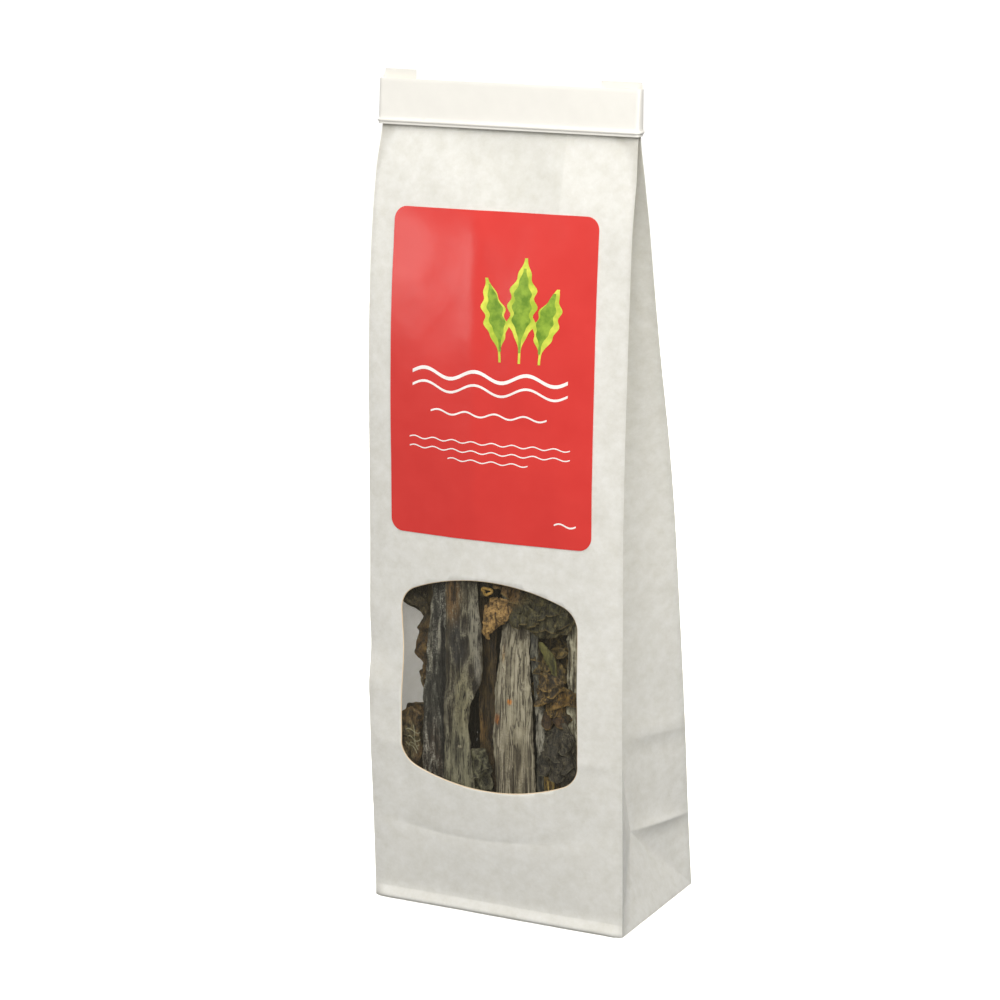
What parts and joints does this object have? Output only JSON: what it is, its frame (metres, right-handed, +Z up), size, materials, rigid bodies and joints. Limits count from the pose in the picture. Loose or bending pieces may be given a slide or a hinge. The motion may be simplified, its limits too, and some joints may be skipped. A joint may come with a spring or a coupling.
{
  "type": "window bag of dried sugar kelp",
  "caption": "Upright block-bottom paper bag with side gussets, clear front window, printed label and taped fold-over mouth, filled with standing strips and frills of dried sugar kelp.",
  "frame": {"origin": "middle of the bag's base, on the surface it stands on", "axes": "+X across the bag's width to the right as seen from the front, the front faces -Y, +Z up"},
  "size_m": [0.0814, 0.0553, 0.2424],
  "materials": {
    "bag_paper": "matt bleached kraft",
    "window_film": "clear glossy film",
    "label_paper": "semi-gloss print",
    "coated_tape": "satin plastic-coated paper",
    "kelp_strip_dark": "dried, matt to satin",
    "kelp_strip_olive": "dried, matt to satin",
    "kelp_strip_pale": "dried, matt to satin",
    "kelp_strip_narrow": "dried, matt to satin",
    "kelp_strip_brown": "dried, matt to satin",
    "kelp_strip_edge": "dried, matt to satin",
    "kelp_frill_left": "dried, matt to satin",
    "kelp_frill_upper": "dried, matt to satin",
    "kelp_frill_middle": "dried, matt to satin",
    "kelp_frill_lower": "dried, matt to satin",
    "kelp_frill_gold": "dried, matt to satin",
    "kelp_frill_foot": "dried, matt to satin",
    "kelp_flake_ochre": "dried, matt to satin",
    "kelp_leaf_green": "dried, matt to satin",
    "kelp_curl_upper": "dried, matt to satin",
    "kelp_curl_lower": "dried, matt to satin",
    "kelp_back": "dried, matt to satin"
  },
  "bodies": {
    "root": {"paper_bag": "bag_paper", "window_film": "window_film", "label": "label_paper", "closure_tape": "coated_tape", "kelp_strip_dark": "kelp_strip_dark", "kelp_strip_olive": "kelp_strip_olive", "kelp_strip_pale": "kelp_strip_pale", "kelp_strip_narrow": "kelp_strip_narrow", "kelp_strip_brown": "kelp_strip_brown", "kelp_strip_edge": "kelp_strip_edge", "kelp_frill_left": "kelp_frill_left", "kelp_frill_upper": "kelp_frill_upper", "kelp_frill_middle": "kelp_frill_middle", "kelp_frill_lower": "kelp_frill_lower", "kelp_frill_gold": "kelp_frill_gold", "kelp_frill_foot": "kelp_frill_foot", "kelp_flake_ochre": "kelp_flake_ochre", "kelp_leaf_green": "kelp_leaf_green", "kelp_curl_upper": "kelp_curl_upper", "kelp_curl_lower": "kelp_curl_lower", "kelp_back_strip_1": "kelp_back", "kelp_back_strip_2": "kelp_back", "kelp_back_strip_3": "kelp_back", "kelp_back_strip_4": "kelp_back", "kelp_back_frill_1": "kelp_back", "kelp_back_frill_2": "kelp_back", "kelp_back_frill_3": "kelp_back", "kelp_back_frill_4": "kelp_back"}
  },
  "joints": []
}
